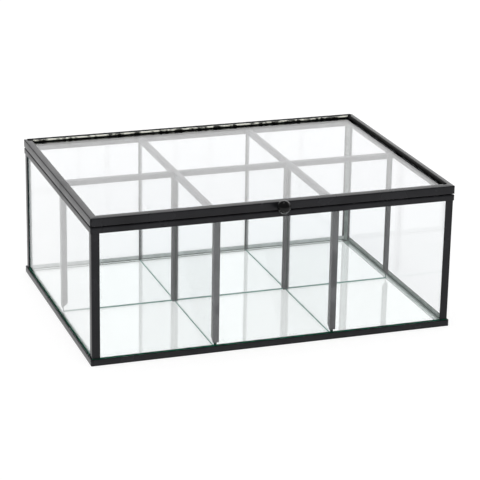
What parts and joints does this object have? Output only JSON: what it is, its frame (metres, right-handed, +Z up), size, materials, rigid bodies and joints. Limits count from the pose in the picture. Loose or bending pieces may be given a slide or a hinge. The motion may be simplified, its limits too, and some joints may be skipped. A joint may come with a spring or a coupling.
{
  "type": "tea bag organizer box",
  "caption": "Low glass box in a thin black metal frame, with upright glass dividers that make compartments and a rear-hinged glass lid with a round knob.",
  "frame": {"origin": "on the table, at the middle of the whole outline from the knob's front to the hinges' back", "axes": "+X towards the right seen from the knob's side, +Y towards the hinges at the rear, +Z up"},
  "size_m": [0.2406, 0.1888, 0.098],
  "materials": {
    "frame": "satin black paint over soldered sheet steel",
    "channels": "satin black paint over folded sheet steel",
    "knob": "glossy black paint over turned metal",
    "pins": "bare wire",
    "floor_glass": "clear float glass, faintly green",
    "wall_glass": "clear float glass, faintly green, polished edges",
    "divider_glass": "clear float glass, faintly green, polished edges",
    "lid_glass": "clear float glass, faintly green",
    "seam_sealant": "clear sealant that looks dark green in the seam between glass and black metal",
    "sealant": "clear sealant, uneven and glossy"
  },
  "bodies": {
    "box": {"base_glass": "floor_glass", "base_bar_front": "frame", "base_bar_rear": "frame", "base_bar_left": "frame", "base_bar_right": "frame", "seam_seal_front": "seam_sealant", "seam_seal_rear": "seam_sealant", "seam_seal_left": "seam_sealant", "seam_seal_right": "seam_sealant", "wall_glass_front": "wall_glass", "wall_glass_rear": "wall_glass", "wall_glass_left": "wall_glass", "wall_glass_right": "wall_glass", "corner_post_front_left": "frame", "corner_post_front_right": "frame", "corner_post_rear_left": "frame", "corner_post_rear_right": "frame", "rim_bar_front": "frame", "rim_bar_rear": "frame", "rim_bar_left": "frame", "rim_bar_right": "frame", "long_divider_left": "divider_glass", "long_divider_middle": "divider_glass", "long_divider_right": "divider_glass", "short_divider_front_left": "divider_glass", "short_divider_front_right": "divider_glass", "short_divider_rear_left": "divider_glass", "short_divider_rear_right": "divider_glass", "crossing_post_left": "channels", "crossing_post_right": "channels", "wall_channel_front_left": "channels", "wall_channel_front_right": "channels", "wall_channel_left": "channels", "wall_channel_right": "channels", "rear_strip_left": "channels", "rear_strip_right": "channels", "long_cap": "channels", "short_cap_front_left": "channels", "short_cap_front_right": "channels", "short_cap_rear_left": "channels", "short_cap_rear_right": "channels", "hinge_left_box_leaf": "frame", "hinge_right_box_leaf": "frame", "hinge_left_pin": "pins", "hinge_right_pin": "pins"},
    "lid": {"lid_glass": "lid_glass", "lid_bar_front": "frame", "lid_bar_rear": "frame", "lid_bar_left": "frame", "lid_bar_right": "frame", "lid_rear_bead": "sealant", "lid_knob": "knob", "hinge_left_lid_leaf": "frame", "hinge_right_lid_leaf": "frame"}
  },
  "joints": [
    {"name": "lid_hinge", "type": "hinge", "parent": "box", "child": "lid", "pos_m": [0, 0.0929, 0.08985], "axis": [-1, 0, 0], "range_deg": [0, 110]}
  ]
}
